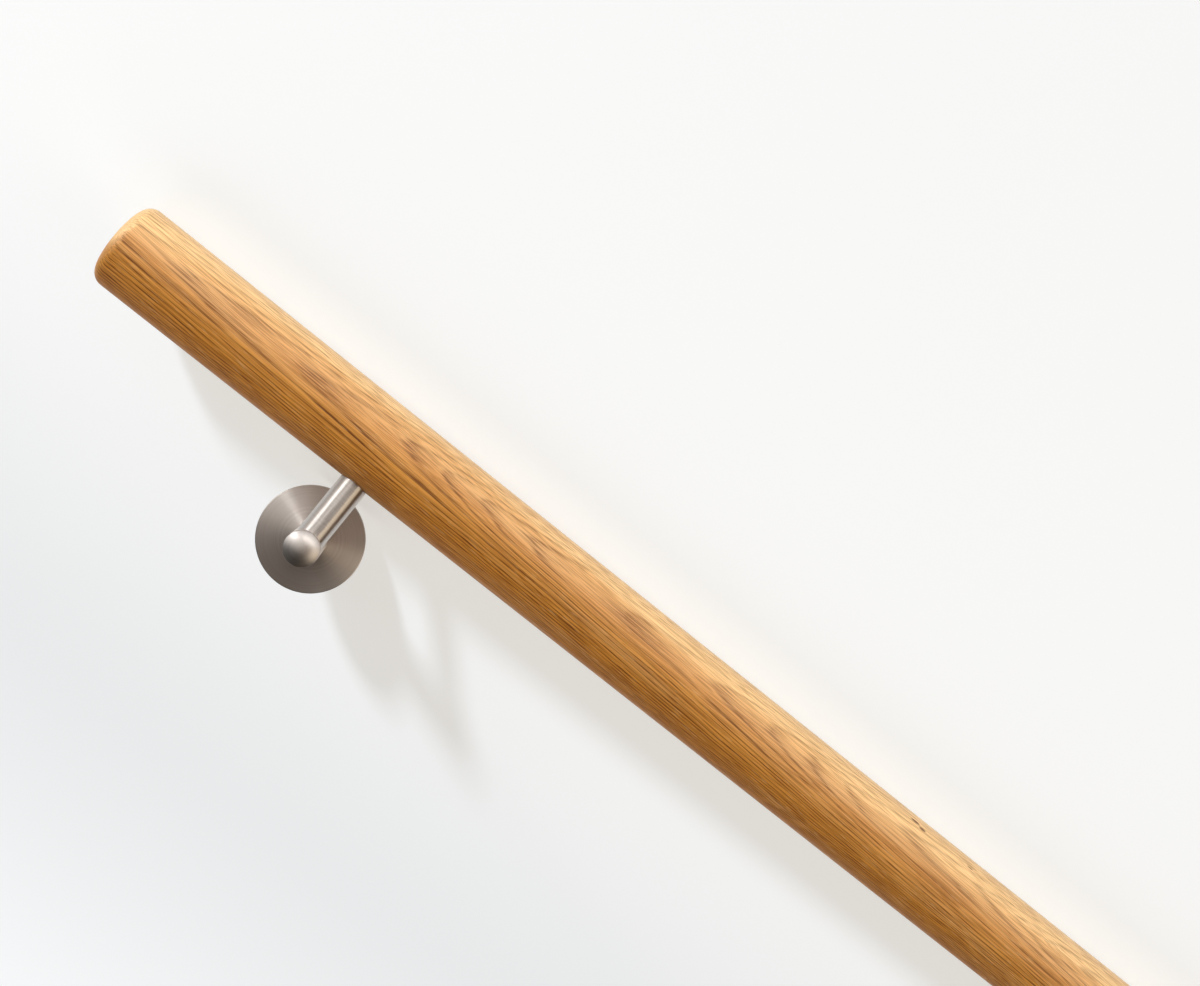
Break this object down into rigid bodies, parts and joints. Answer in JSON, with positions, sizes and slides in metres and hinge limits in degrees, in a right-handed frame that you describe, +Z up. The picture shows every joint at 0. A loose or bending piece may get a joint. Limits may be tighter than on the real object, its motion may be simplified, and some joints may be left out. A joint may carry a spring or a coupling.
{
  "type": "stair handrail length",
  "caption": "Length of round oak stair handrail with eased ends, carried under its underside by turned stainless brackets with round wall plates.",
  "frame": {"origin": "on the floor, below the middle of the part as it lies", "axes": "+X runs along the rail to the end that hangs higher on the stair, +Z is up from the floor, and the wall plates lie on the +Y side"},
  "size_m": [1, 0.1368, 0.0817],
  "materials": {
    "oiled_oak": "clear oiled oak with open pores along the rail",
    "satin_stainless": "satin, with fine turning marks round each axis",
    "plated_screw": "bright zinc plate"
  },
  "bodies": {
    "root": {"oak_handrail": "oiled_oak", "upper_wall_plate": "satin_stainless", "upper_bracket_arm": "satin_stainless", "upper_rail_stem": "satin_stainless", "upper_rail_screw": "plated_screw", "lower_wall_plate": "satin_stainless", "lower_bracket_arm": "satin_stainless", "lower_rail_stem": "satin_stainless", "lower_rail_screw": "plated_screw"}
  },
  "joints": []
}
